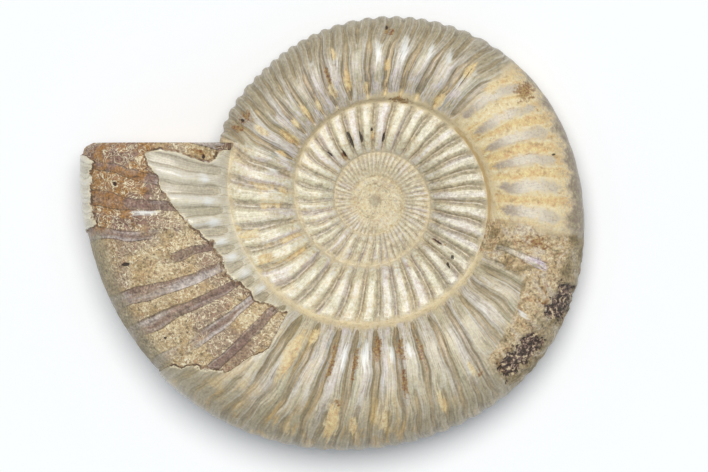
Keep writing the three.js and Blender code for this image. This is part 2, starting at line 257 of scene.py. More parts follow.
def colour(code):
    """A colour for a node from its code on screen."""
    shares = [int(code[i:i + 2], 16) / 255 for i in (1, 3, 5)]
    linear = [s / 12.92 if s <= 0.04045 else ((s + 0.055) / 1.055) ** 2.4 for s in shares]
    return (*linear, 1.0)


class Value:
    """A socket that gives a value. Written into an expression, it adds the Math nodes that work it out."""

    def __init__(self, tree, socket):
        self.tree = tree
        self.socket = socket

    def __add__(self, other):
        return self.tree.math("ADD", self, other)

    __radd__ = __add__

    def __mul__(self, other):
        return self.tree.math("MULTIPLY", self, other)

    __rmul__ = __mul__

    def __sub__(self, other):
        return self.tree.math("SUBTRACT", self, other)

    def __rsub__(self, other):
        return self.tree.math("SUBTRACT", other, self)

    def __truediv__(self, other):
        return self.tree.math("DIVIDE", self, other)

    def __rtruediv__(self, other):
        return self.tree.math("DIVIDE", other, self)

    def __pow__(self, other):
        return self.tree.math("POWER", self, other)

    def __rpow__(self, other):
        return self.tree.math("POWER", other, self)

    def __abs__(self):
        return self.tree.math("ABSOLUTE", self)

    def __neg__(self):
        return self.tree.math("MULTIPLY", self, -1.0)

    def output(self, name):
        """Another output of the same node."""
        return Value(self.tree, self.socket.node.outputs[name])


class Tree:
    """Adds nodes to a node tree, for a shape or for a finish. Colours go by their names in the palette."""

    def __init__(self, node_tree, palette=None):
        self.node_tree = node_tree
        self.palette = palette
        self.count = 0

    def node(self, kind, inputs=None, out=0, stops=None, points=None, **settings):
        """Adds one node: its settings first, then the values or links of its sockets. Gives one of its outputs."""
        made = self.node_tree.nodes.new(kind)
        made.location = (self.count // 12 * 190, -(self.count % 12) * 170)
        self.count += 1
        for name, value in settings.items():
            setattr(made, name, value)
        if stops:
            ramp = made.color_ramp.elements
            while len(ramp) < len(stops):
                ramp.new(1.0)
            for element, (place, tone) in zip(ramp, stops):
                element.position = place
                element.color = tone
        if points:
            curve = made.mapping.curves[0]
            while len(curve.points) < len(points):
                curve.points.new(1.0, 1.0)
            for point, place in zip(curve.points, points):
                point.location = place
                point.handle_type = "VECTOR"
            made.mapping.update()
        for name, value in (inputs or {}).items():
            self.connect(value, made.inputs[name])
        return Value(self, made.outputs[out]) if len(made.outputs) else made

    def connect(self, value, socket):
        if isinstance(value, Value):
            self.node_tree.links.new(value.socket, socket)
        else:
            socket.default_value = value

    def math(self, operation, *values):
        return self.node("ShaderNodeMath", dict(enumerate(values)), operation=operation)

    def smallest(self, a, b):
        return self.math("MINIMUM", a, b)

    def largest(self, a, b):
        return self.math("MAXIMUM", a, b)

    def clamped(self, value, low=0.0, high=1.0):
        return self.node("ShaderNodeClamp", {"Value": value, "Min": low, "Max": high})

    def step(self, value, low, high):
        """A smooth step from 0 at low to 1 at high, or the other way round where high is the smaller."""
        ends = {"Value": value, "From Min": low, "From Max": high}
        return self.node("ShaderNodeMapRange", ends, interpolation_type="SMOOTHSTEP")

    def ramp(self, value, low, high, first=0.0, last=1.0):
        """An even change from first to last as the value goes from low to high, and level outside."""
        ends = {"Value": value, "From Min": low, "From Max": high, "To Min": first, "To Max": last}
        return self.node("ShaderNodeMapRange", ends, clamp=True)

    def mix(self, share, a, b):
        return self.node("ShaderNodeMix", {0: share, 2: a, 3: b}, data_type="FLOAT")

    def named(self, name):
        """A colour of the palette."""
        return (*getattr(self.palette, name), 1.0)

    def blend(self, share, a, b, how="MIX"):
        """A mix of two colours, each a value or a name."""
        a, b = (self.named(tone) if isinstance(tone, str) else tone for tone in (a, b))
        return self.node("ShaderNodeMix", {0: share, 6: a, 7: b}, out=2, data_type="RGBA", blend_type=how)

    def layers(self, tone, *laid):
        """A colour with more laid over it in turn, each given with its share."""
        for share, over in laid:
            tone = self.blend(share, tone, over)
        return tone

    def vector(self, operation, *values):
        return self.node("ShaderNodeVectorMath", dict(enumerate(values)), operation=operation)

    def combine(self, x, y, z):
        return self.node("ShaderNodeCombineXYZ", {0: x, 1: y, 2: z})

    def split(self, vector):
        parts = self.node("ShaderNodeSeparateXYZ", {0: vector})
        return parts, parts.output("Y"), parts.output("Z")

    def noise(self, place, grain, detail=2.0, seed=0.0, roughness=0.5, twist=0.0):
        """Cloudy noise from 0 to 1. The grain is its size in metres."""
        moved = self.vector("ADD", place, (seed * 0.37, seed * 0.11, seed * 0.23))
        inputs = {"Vector": moved, "Scale": 1 / grain, "Detail": detail, "Roughness": roughness, "Distortion": twist}
        return self.node("ShaderNodeTexNoise", inputs)

    def curve(self, value, places):
        """A value read from pairs of a place and a value, with even changes between them."""
        low, high = places[0][0], places[-1][0]
        least = min(v for _, v in places)
        span = max(v for _, v in places) - least
        points = [((place - low) / (high - low), (v - least) / span) for place, v in places]
        share = self.ramp(value, low, high)
        return self.node("ShaderNodeFloatCurve", {"Value": share}, points=points) * span + least


def spread(pairs, low, high):
    """Pairs of a share and a value, with the shares spread between two places."""
    return [(low + share * (high - low), value) for share, value in pairs]


def seam_radius(t, growth):
    return t.curve(growth, spread(smooth_through(SEAM_RADII), SEAM_START, SEAM_END)) * MM


def open_rim_radius(t, growth):
    return t.curve(growth, spread(smooth_through(RIM_RADII), RIM_START, RIM_END)) * MM


class Place:
    """Where a point lies on the coil, as values in a node tree."""

    def __init__(self, t, spot, growth, reach, number, radius, from_seam, side):
        self.spot = spot
        self.growth = growth
        self.reach = reach
        self.number = number
        self.radius = radius
        self.from_seam = from_seam
        self.side = side
        self.last = t.math("GREATER_THAN", growth, OPEN_ANGLE)
        self.upper = t.math("GREATER_THAN", side, UPPER_SLOPE)


def rib_shape(t, place):
    """The ribs as a ridge, 0 in a groove and 1 on a crest. On the last whorl each one splits in two near the rim."""
    main = abs(t.math("FRACT", place.number) - 0.5) * 2
    fine = 1 - abs(t.math("FRACT", place.number * 2) * 2 - 1)
    rib = t.combine(t.math("FLOOR", place.number + 0.5) * 9 * MM, 0.0, 0.0)
    split = t.noise(rib, 5 * MM, 0, 2) * 0.6 + 0.28
    share = t.step(place.reach - split, -0.04, 0.14) * place.last * t.curve(place.growth, SPLIT_RIBS)
    round_end = t.clamped((place.from_seam - 1.6 * MM) / (2.4 * MM)) ** 0.4
    width = t.curve(place.growth, GROOVE_WIDTHS) * t.mix(place.last, 1.0, round_end)
    broad = t.step(main, width * 0.3, width + 0.02)
    narrow = t.step(fine, 0.05, 0.8)
    return t.mix(share, broad, narrow), share


def mould_depth(t, place):
    """How far a point lies inside the bare stone mould of the body chamber, in metres. Outside it is less than 0."""
    jagged = (t.noise(place.spot, 5 * MM, 4, 3, 0.6) - 0.5) * 6 * MM
    inside = place.radius - t.curve(place.growth, MOULD_INNER_EDGE) * MM
    outside = t.curve(place.growth, MOULD_OUTER_EDGE) * MM - place.radius
    here = t.smallest(inside, t.largest(outside, (UPPER_SLOPE - place.side) * MM)) + jagged
    x, y, _ = t.split(place.spot)
    by_mouth = y - MOUTH_Y + t.curve(x * (-1 / MM), MOUTH_STONE) * MM + jagged * 0.3
    here = t.largest(here, by_mouth)
    return t.mix(t.math("GREATER_THAN", place.growth, MOULD_START), -1.0, here)


def rough_share(t, place):
    """1 where rough matrix covers the shell."""
    wander = (t.noise(place.spot, 7 * MM, 4, 5, 0.6) - 0.5) * 30
    first = t.step(place.growth + wander * 0.6, *ROUGH_START)
    limit = t.ramp(place.radius, *ROUGH_END_RADII, *ROUGH_END_ANGLES)
    last = t.step(place.growth + wander * 0.6 - limit, 1.5, -1.5)
    return first * last * place.last


def pit_share(t, place):
    """1 in the dark pits near the rim at the lower right. They lie in two clusters."""
    wander = t.noise(place.spot, 1.5 * MM, 4, 7, 0.65) - 0.5
    first, second = (t.smallest(place.growth - low, high - place.growth) for low, high in PIT_CLUSTERS)
    along = t.largest(first, second) * 0.8 * MM
    across = PIT_HALF_WIDTH - abs(place.radius - PIT_RADIUS)
    here = t.smallest(along, across) + wander * 7 * MM
    return t.step(here, 0.8 * MM, 1.3 * MM) * place.upper * place.last


def strip(t, start, columns, step, rows, slope, seam_rows=()):
    """A grid of skin: columns along the coil, rows across it. Its seam rows have half as many columns."""
    grid = t.node("GeometryNodeMeshGrid", {"Vertices X": columns + 1, "Vertices Y": rows + 1})
    index = t.node("GeometryNodeInputIndex")
    column = t.math("FLOOR", (index + 0.5) / (rows + 1.0))
    row = index - column * (rows + 1.0)
    used = column
    for seam_row in seam_rows:
        at_seam = t.math("COMPARE", row, float(seam_row), 0.5)
        used = t.mix(at_seam, used, t.math("FLOOR", column / 2) * 2)
    grid = keep(t, grid, "growth", used * step + start)
    return keep(t, grid, "slope", slope(row, column)), row


def keep(t, geometry, name, value, kind="FLOAT", domain="POINT"):
    inputs = {"Geometry": geometry, "Name": name, "Value": value}
    return t.node("GeometryNodeStoreNamedAttribute", inputs, data_type=kind, domain=domain)


def recall(t, name):
    return t.node("GeometryNodeInputNamedAttribute", {"Name": name}, data_type="FLOAT")


def join(t, geometries):
    joined = t.node("GeometryNodeJoinGeometry")
    for geometry in geometries:
        t.connect(geometry, joined.socket.node.inputs[0])
    return joined


def radius_at(radii, start, end, growth):
    """The radius that a list gives at one growth angle, in metres."""
    pairs = spread(smooth_through(radii), start, end)
    after = next(i for i, (place, _) in enumerate(pairs) if place >= growth)
    (a, first), (b, last) = pairs[after - 1], pairs[after]
    return (first + (last - first) * (growth - a) / (b - a)) * MM


def coil_tree():
    """The whole fossil as Geometry Nodes: a strip of skin that spirals out from the core, and its closed mouth."""
    node_tree = bpy.data.node_groups.new("ammonite_coil", "GeometryNodeTree")
    node_tree.interface.new_socket(name="Geometry", in_out="OUTPUT", socket_type="NodeSocketGeometry")
    sizes = [
        ("Mouth half width", "NodeSocketFloat", "DISTANCE"),
        ("Rib height", "NodeSocketFloat", "DISTANCE"),
        ("Stone in the middle", "NodeSocketFloat", "DISTANCE"),
        ("Shell thickness", "NodeSocketFloat", "DISTANCE"),
        ("Seam bank", "NodeSocketFloat", "DISTANCE"),
        ("Finish", "NodeSocketMaterial", None),
    ]
    for name, kind, subtype in sizes:
        socket = node_tree.interface.new_socket(name=name, in_out="INPUT", socket_type=kind)
        if subtype:
            socket.subtype = subtype
    t = Tree(node_tree)
    given = t.node("NodeGroupInput")
    half_at_mouth, rib_height, fill_height, shell, bank_height = (given.output(name) for name, _, __ in sizes[:5])

    growth = recall(t, "growth")
    slope = recall(t, "slope")
    shrink = recall(t, "shrink")

    # The smooth section at each place.
    side = abs(slope)
    sine = t.math("SINE", side * (math.pi / 180))
    cosine = t.math("COSINE", side * (math.pi / 180))
    inward = t.math("MAXIMUM", -cosine, 0.0) / -math.cos(math.radians(SEAM_SLOPE))
    outward = t.math("MAXIMUM", cosine, 0.0)
    reach = WIDEST + outward ** (2 / RIM_ROUNDNESS) * (1 - WIDEST) - inward ** (2 / SEAM_ROUNDNESS) * WIDEST
    cover_reach = WIDEST + (1 - WIDEST) * math.cos(math.radians(COVER_SLOPE)) ** (2 / RIM_ROUNDNESS)

    # The last columns swing round until they stand in the flat of the mouth, and the first ones of the opening too.
    end_radius = t.mix(reach, *(radius_at(SEAM_RADII, SEAM_START, SEAM_END, MOUTH_ANGLE),
                                radius_at(RIM_RADII, RIM_START, RIM_END, MOUTH_RIM_ANGLE)))
    end_angle = TURN - t.math("ARCCOSINE", MOUTH_Y / end_radius) * (180 / math.pi)
    swing = (MOUTH_ANGLE - end_angle) * t.step(growth, MOUTH_ANGLE - MOUTH_SWING, MOUTH_ANGLE)
    start_radius = t.ramp(reach, cover_reach, 1.0, radius_at(SEAM_RADII, SEAM_START, SEAM_END, MOUTH_ANGLE),
                          radius_at(RIM_RADII, RIM_START, RIM_END, OPEN_RIM_ANGLE))
    start_angle = -t.math("ARCCOSINE", MOUTH_Y / start_radius) * (180 / math.pi)
    near_opening = t.step(growth, OPEN_ANGLE - MOUTH_SWING, OPEN_ANGLE) * t.step(growth, OPEN_ANGLE + 20, OPEN_ANGLE)
    swing_back = (OPEN_ANGLE - start_angle) * near_opening * t.step(reach, 0.5, cover_reach)
    placed = growth - swing - swing_back

    seam = seam_radius(t, placed)
    half = half_at_mouth * WIDTH_GROWTH ** ((placed - MOUTH_ANGLE) / TURN)
    seam_half = half_at_mouth * WIDTH_GROWTH ** ((t.largest(placed, SEAM_START) - MOUTH_ANGLE) / TURN)
    seam_share = seam_half * SEAM_HEIGHT / half
    rise = (sine ** (2 / SEAM_ROUNDNESS) - SEAM_HEIGHT) / (1 - SEAM_HEIGHT)
    inner_height = t.mix(rise, seam_share, 1.0)
    height = t.mix(t.math("LESS_THAN", cosine, 0.0), sine ** (2 / RIM_ROUNDNESS), inner_height)
    covered = seam + (seam_radius(t, placed + TURN) - seam) / cover_reach
    rim = t.mix(t.step(placed, OPEN_ANGLE, OPEN_ANGLE + 30), covered, open_rim_radius(t, placed))
    radius = t.mix(reach, seam, rim) * shrink

    up = t.math("SIGN", slope)
    turned = placed * (math.pi / 180)
    across = t.combine(t.math("SINE", turned), t.math("COSINE", turned), 0.0)

    def point(lift):
        at = radius + lift * cosine
        fill = fill_height * math.e ** -((at / FILL_RADIUS) ** 2)
        level = at * CORE_SLOPE + CORE_HEIGHT
        flattened = level + (half * height - level) * t.ramp(at, *CORE_WEAR, 0.15, 1.0)
        z = (flattened + lift * sine + fill) * up
        return t.vector("ADD", t.node("ShaderNodeVectorMath", {0: across, "Scale": at}, operation="SCALE"),
                        t.combine(0.0, 0.0, z))

    smooth_spot = point(0.0)
    lean = t.curve(placed, LEAN) * (reach * 0.4 + t.step(reach, 0.4, 1.0) * 0.6)
    wander = (t.noise(smooth_spot, 9 * MM, 2, 1) - 0.5) * t.curve(placed, RIB_WANDER)
    number = t.curve(placed - lean, RIBS) + wander
    place = Place(t, smooth_spot, placed, reach, number, radius, radius - seam, slope)

    # Height of the ribs, the bare mould, the rough matrix and the pits above the smooth section.
    ridge, share = rib_shape(t, place)
    near_rim = t.step(reach, 0.55, 0.9) * place.last
    strength = t.mix(near_rim, t.curve(placed, FLANK_RIBS), t.curve(placed, RIM_RIBS)) * rib_height
    ends = t.step(reach, 0.01, 0.09) * t.mix(place.last, t.step(reach, cover_reach, cover_reach - 0.04), 1.0)
    ribs = (ridge * 2 - 1) * strength * ends
    mould = t.step(mould_depth(t, place), *MOULD_EDGE)
    rough = rough_share(t, place) * t.step(reach, 0.0, 0.08)
    pits = pit_share(t, place)
    crumb = (t.noise(smooth_spot, 1.6 * MM, 3, 11) - 0.5) * CRUMB_HEIGHT
    before = MOUTH_ANGLE - growth
    lip = t.math("MAXIMUM", 1 - before / LIP_SPAN, 0.0)
    wear = (1 - (1 - lip * lip) ** 0.5) * LIP_DEPTH * t.mix(t.step(reach, 0.6, 1.0), 0.35, 1.0)
    wear = wear * t.step(reach, 0.0, 0.2)
    edge = t.step(before, 0.0, 2.0)
    lift = ribs * (1 - rough * 0.5) * (1 - mould * 0.25) * edge - mould * shell * edge - wear
    lift = lift + crumb * rough * edge * 0.8 + (crumb - PIT_DEPTH) * pits
    lift = lift + crumb * mould * edge * 0.35
    to_next = t.mix(place.last, seam_radius(t, placed + TURN) - radius, 1.0)
    own_bank = t.math("EXPONENT", (seam - radius) / WALL_BANK)
    own_bank = own_bank * t.step(placed, MOUTH_ANGLE - BANK_FADE[0], MOUTH_ANGLE - BANK_FADE[1])
    next_bank = t.math("EXPONENT", -(to_next / FLANK_BANK))
    next_bank = next_bank * t.step(placed, OPEN_ANGLE - BANK_FADE[0], OPEN_ANGLE - BANK_FADE[1])
    bank = t.largest(own_bank, next_bank) * bank_height * t.ramp(radius, *BANK_REACH)
    lifted = point(lift * t.step(reach, 0.0, 0.02))
    shaped = t.vector("ADD", lifted, t.combine(0.0, 0.0, bank * up))
    x, _, z = t.split(shaped)
    flat_mouth = t.combine(x, MOUTH_Y, z)
    at_end = t.math("GREATER_THAN", growth, MOUTH_ANGLE - 0.01)
    at_start = t.math("LESS_THAN", abs(growth - OPEN_ANGLE), 0.01) * t.math("LESS_THAN", side, COVER_SLOPE + 0.01)
    on_flat = t.largest(at_end, at_start)
    final = t.node("ShaderNodeMix", {0: on_flat, 4: shaped, 5: flat_mouth}, out=1, data_type="VECTOR")

    def placed_skin(geometry):
        """Moves the grid to the coil, after the finish has been told where each corner lies."""
        geometry = keep(t, geometry, "spot", smooth_spot, "FLOAT_VECTOR")
        geometry = keep(t, geometry, "coil", t.combine(number, reach, placed), "FLOAT_VECTOR", "CORNER")
        lay = t.combine(radius, radius - seam, to_next)
        geometry = keep(t, geometry, "lay", lay, "FLOAT_VECTOR", "CORNER")
        geometry = keep(t, geometry, "side", slope, "FLOAT", "CORNER")
        return t.node("GeometryNodeSetPosition", {"Geometry": geometry, "Position": final})

    # The last whorl, all the way round its rim.
    def last_slope(row, column):
        flank_end = float(FLANK_ROWS)
        under_start = float(FLANK_ROWS + RIM_ROWS)
        in_flank = t.largest(t.math("LESS_THAN", row, flank_end), t.math("GREATER_THAN", row, under_start))
        first = t.math("LESS_THAN", column, 0.5) * in_flank
        used = t.mix(first, row, t.math("FLOOR", row / 2) * 2)
        top = t.ramp(used, 0.0, flank_end, SEAM_SLOPE - COVER_SLOPE, 0.0)
        middle = t.ramp(used, flank_end, under_start, COVER_SLOPE, -COVER_SLOPE)
        below = t.ramp(used, under_start, float(ROWS), 0.0, COVER_SLOPE - SEAM_SLOPE)
        return top + middle + below

    columns = round(TURN / LAST_STEP)
    last_grid, _ = strip(t, OPEN_ANGLE, columns, LAST_STEP, ROWS, last_slope, (0, ROWS))
    last_skin = placed_skin(keep(t, last_grid, "shrink", 1.0))

    # The whorls inside it, upper and lower flank.
    inner = []
    for start, step, count in ((SECOND_ANGLE, 1.0, 360), (THIRD_ANGLE, 2.0, 180), (CORE_ANGLE, 4.0, 118)):
        for rows, first, final_slope in ((FLANK_ROWS // 2, SEAM_SLOPE, COVER_SLOPE),
                                         (UNDER_ROWS // 2, -COVER_SLOPE, -SEAM_SLOPE)):
            def inner_slope(row, column, rows=rows, first=first, final_slope=final_slope, start=start):
                slope_here = t.ramp(row, 0.0, float(rows), first, final_slope)
                if start != CORE_ANGLE:
                    return slope_here
                closed = first if first > 0 else final_slope
                return t.mix(t.math("LESS_THAN", column, 0.5), slope_here, closed)
            seam_rows = () if start == CORE_ANGLE else (0 if first > 0 else rows,)
            grid, _ = strip(t, start, count, step, rows, inner_slope, seam_rows)
            inner.append(keep(t, grid, "shrink", 1.0))

    # The middle of the coil, closed above and below.
    for upper in (True, False):
        slope_here = SEAM_SLOPE if upper else -SEAM_SLOPE
        grid, row = strip(t, CORE_ANGLE, 90, 4.0, CORE_RINGS, lambda row, column: slope_here)
        share = row / CORE_RINGS
        inner.append(keep(t, grid, "shrink", share if upper else 1 - share))
    inner_skin = placed_skin(join(t, inner))

    # The flat of the mouth, between the rim of the last whorl and the rim of the one inside it.
    cap = t.node("GeometryNodeMeshGrid", {"Vertices X": MOUTH_RINGS + 1, "Vertices Y": ROWS + 1})
    index = t.node("GeometryNodeInputIndex")
    ring = t.math("FLOOR", (index + 0.5) / (ROWS + 1.0))
    row = index - ring * (ROWS + 1.0)
    inner_row = t.clamped(row, float(FLANK_ROWS), float(FLANK_ROWS + RIM_ROWS))
    position = t.node("GeometryNodeInputPosition")

    def sampled(at):
        inputs = {"Geometry": last_skin, "Value": position, "Index": at}
        return t.node("GeometryNodeSampleIndex", inputs, data_type="FLOAT_VECTOR")

    outer_point = sampled(row + columns * (ROWS + 1.0))
    inner_point = sampled(inner_row)
    share = ring / MOUTH_RINGS
    between = t.node("ShaderNodeMix", {0: share, 4: outer_point, 5: inner_point}, out=1, data_type="VECTOR")
    hollow = (t.noise(between, 6 * MM, 4, 13) - 0.6) * HOLLOW_SWING * t.smallest(share * 8, (1 - share) * 8)
    hollow = t.math("MINIMUM", hollow, 0.0)
    dented = t.vector("ADD", between, t.combine(0.0, hollow, 0.0))
    cap = keep(t, cap, "spot", between, "FLOAT_VECTOR")
    cap = keep(t, cap, "coil", t.combine(0.0, 0.5, MOUTH_ANGLE), "FLOAT_VECTOR", "CORNER")
    cap = keep(t, cap, "lay", t.combine(0.06, 0.02, 1.0), "FLOAT_VECTOR", "CORNER")
    cap = keep(t, cap, "side", 90.0, "FLOAT", "CORNER")
    cap = keep(t, cap, "cut", 1.0, "FLOAT", "CORNER")
    cap = t.node("GeometryNodeSetPosition", {"Geometry": cap, "Position": dented})

    # Everything is welded, tipped to its resting pose and ground flat where it lies.
    skin = join(t, [last_skin, inner_skin, cap])
    skin = t.node("GeometryNodeMergeByDistance", {"Geometry": skin, "Distance": WELD})
    skin = t.node("GeometryNodeTransform", {"Geometry": skin, "Rotation": TIP, "Translation": COIL_CENTRE})
    x, y, z = t.split(t.node("GeometryNodeInputPosition"))
    floor_height = t.combine(x, y, t.largest(z, 0.0))
    skin = t.node("GeometryNodeSetPosition", {"Geometry": skin, "Position": floor_height})
    skin = t.node("GeometryNodeSetShadeSmooth", {"Geometry": skin})
    skin = t.node("GeometryNodeRealizeInstances", {"Geometry": skin})
    skin = t.node("GeometryNodeSetMaterial", {"Geometry": skin, "Material": given.output("Finish")})
    t.node("NodeGroupOutput", {0: skin})
    return node_tree


def patch_share(growth, radius, listed):
    """1 in the middle of each patch of a list and 0.5 at its edge, falling off outwards. Works on whole arrays."""
    share = np.zeros(len(growth), np.float32)
    for angle, at, half_length, half_width in listed:
        along = np.radians(growth - angle) * radius / (half_width * MM)
        out = (radius - at * MM) / (half_length * MM)
        share = np.maximum(share, 1 - np.hypot(along, out) * 0.5)
    return share


def mark_skin(mesh):
    """Tells the finish where the single patches lie, and sinks the dark ones into the skin."""
    corners = len(mesh.loops)

    def values(items, kind, count, size=1):
        found = np.empty(count * size, np.float32)
        items.foreach_get(kind, found)
        return found.reshape(count, size)

    growth = values(mesh.attributes["coil"].data, "vector", corners, 3)[:, 2]
    radius = values(mesh.attributes["lay"].data, "vector", corners, 3)[:, 0]
    upper = values(mesh.attributes["side"].data, "value", corners)[:, 0] > UPPER_SLOPE
    marks = np.stack([patch_share(growth, radius, listed) * upper
                      for listed in (OCHRE_PATCHES, WHITE_AND_GLINT_PATCHES, DARK_PATCHES)], axis=1)
    written = mesh.attributes.new("marks", "FLOAT_VECTOR", "CORNER")
    written.data.foreach_set("vector", marks.ravel())
    written = mesh.attributes.new("rust", "FLOAT", "CORNER")
    written.data.foreach_set("value", patch_share(growth, radius, RUST_PATCHES) * upper)

    points = len(mesh.vertices)
    corner_points = np.empty(corners, np.int32)
    mesh.loops.foreach_get("vertex_index", corner_points)
    dark = np.bincount(corner_points, marks[:, 2], points) / np.bincount(corner_points, minlength=points)
    depth = np.clip((dark - 0.35) / 0.35, 0, 1) * DARK_DEPTH
    place = values(mesh.vertices, "co", points, 3) - values(mesh.vertices, "normal", points, 3) * depth[:, None]
    mesh.vertices.foreach_set("co", place.ravel().astype(np.float32))
    mesh.update()


def finish_tree(material, settings):
    """The finish of the fossil, from where each point lies on the coil."""
    material.use_nodes = True
    material.node_tree.nodes.clear()
    t = Tree(material.node_tree, settings)

    def told(name):
        return t.node("ShaderNodeAttribute", attribute_name=name, attribute_type="GEOMETRY")

    spot = told("spot").output("Vector")
    number, reach, growth = t.split(told("coil").output("Vector"))
    radius, from_seam, to_seam = t.split(told("lay").output("Vector"))
    ochre_mark, white_and_glint_mark, dark_mark = t.split(told("marks").output("Vector"))
    rust_mark = told("rust").output("Fac")
    side = told("side").output("Fac")
    cut = told("cut").output("Fac")
    place = Place(t, spot, growth, reach, number, radius, from_seam, side)
    last = place.last
    inner_whorl = 1 - last

    ridge, share = rib_shape(t, place)
    groove = 1 - ridge
    to_crest = abs(t.math("FRACT", number) - 0.5) * 2
    depth = mould_depth(t, place)
    mould = t.step(depth, *MOULD_EDGE)
    rough = rough_share(t, place)
    pits = pit_share(t, place)

    # Cloudy noise for stone, and noise drawn out along the ribs for shell.
    broad = t.noise(spot, 15 * MM, 3, 21)
    patch = t.noise(spot, 5 * MM, 4, 22)
    mottle = t.noise(spot, 1.7 * MM, 4, 23, 0.62)
    grain = t.noise(spot, 0.55 * MM, 3, 24, 0.62)
    crumbs = t.noise(spot, 0.95 * MM, 3, 25, 0.7)
    clouds = t.noise(spot, 6 * MM, 3, 61, 0.6, 0.8)
    along_ribs = t.combine(number * 5.5 * MM, side * 0.022 * MM, 0.0)
    wide_streak = t.noise(along_ribs, 2.6 * MM, 2, 41)
    streak = t.noise(along_ribs, 1.0 * MM, 3, 42, 0.6)
    thin_streak = t.noise(along_ribs, 0.4 * MM, 2, 43)
    # The same noise as a swing about zero, to roughen borders.
    patchy, mottled, grainy, crumbly = patch - 0.5, mottle - 0.5, grain - 0.5, crumbs - 0.5
    widely, streaky, thinly = wide_streak - 0.5, streak - 0.5, thin_streak - 0.5
    wander = patchy * 9

    def within(low, high, soft=2.5):
        """1 between two growth angles, with uneven borders."""
        return t.step(growth + wander, low - soft, low + soft) * t.step(growth + wander, high + soft, high - soft)

    def granular(base, pale, deep):
        """Stone of three tones in patches, specks and grains."""
        return t.layers(
            base,
            (t.step(patch, 0.35, 0.65) * 0.7, pale),
            (t.step(mottle, 0.5, 0.66) * 0.75, deep),
            (t.step(mottle, 0.44, 0.34) * 0.6, pale),
            (t.step(crumbs, 0.54, 0.64) * 0.6, "dark_specks"),
            (t.step(crumbs, 0.44, 0.35) * 0.6, "cream_lines"))

    # Polished shell. Its ground tone changes along the coil.
    first_angle, last_angle = SHELL_TONES[0][0], SHELL_TONES[-1][0]
    stops = [((angle - first_angle) / (last_angle - first_angle), t.named(name)) for angle, name in SHELL_TONES]
    ground = t.node("ShaderNodeValToRGB", {"Fac": t.ramp(growth, first_angle, last_angle)}, stops=stops)
    lively = t.mix(t.step(growth, *LIVELY_END), last, 0.0)
    near_rim = t.step(reach + streaky * 0.35, 0.6, 0.86) * last * t.step(growth, *RIM_TONE_END)
    gilded = near_rim * t.step(streak + patchy * 0.6, 0.5, 0.62) * within(*GILDED_STRETCH)
    tinted = t.step(broad + patchy * 0.5 + streaky * 0.4, 0.5, 0.66) * within(*TINTED_STRETCH)
    pearly = t.step(streak + widely * 0.6 + mottled * 0.4, 0.53, 0.68) * (1 - near_rim * 0.75)
    brown = t.step(thin_streak + streaky * 0.8 + mottled * 0.4, 0.45, 0.34)
    # Painted pearly highlight on the inner half of the flank, tinted lilac and blue, in two stretches.
    painted_sheen = t.step(reach, 0.66, 0.4) * t.largest(*(within(*stretch) for stretch in SHEEN_STRETCHES))
    shell = t.layers(
        ground,
        (t.step(wide_streak + streaky * 0.6, 0.5, 0.62) * t.mix(lively, 0.25, 0.5), "lilac_shell_and_shade"),
        (t.step(wide_streak + patchy * 0.5, 0.46, 0.34) * t.mix(lively, 0.3, 0.5), "green_shell"),
        (near_rim * 0.75, "rim_shell"),
        (gilded * 0.75, "gold_groove"),
        (tinted * 0.5, "ochre_stone"),
        (pearly * t.mix(lively, 0.35, 0.42), "pearl"),
        (brown * t.mix(lively, 0.12, 0.36), "brown_streak_and_shade"),
        # Painted pearly highlight in lilac and blue.
        (painted_sheen * t.step(thin_streak + patchy * 0.5, 0.5, 0.62) * 0.55, "lilac_pearl_and_sheen"),
        (painted_sheen * t.step(streak + mottled * 0.5, 0.44, 0.36) * 0.35, "blue_sheen"),
        (t.step(patch + mottled * 0.7, 0.46, 0.6) * inner_whorl * 0.55, "cream_stone"),
        (t.step(wide_streak + patchy * 0.6, 0.54, 0.64) * inner_whorl * 0.4, "lilac_pearl_and_sheen"),
        (t.step(from_seam, 2.1 * MM, 0.9 * MM) * inner_whorl * 0.4, "pearl"))

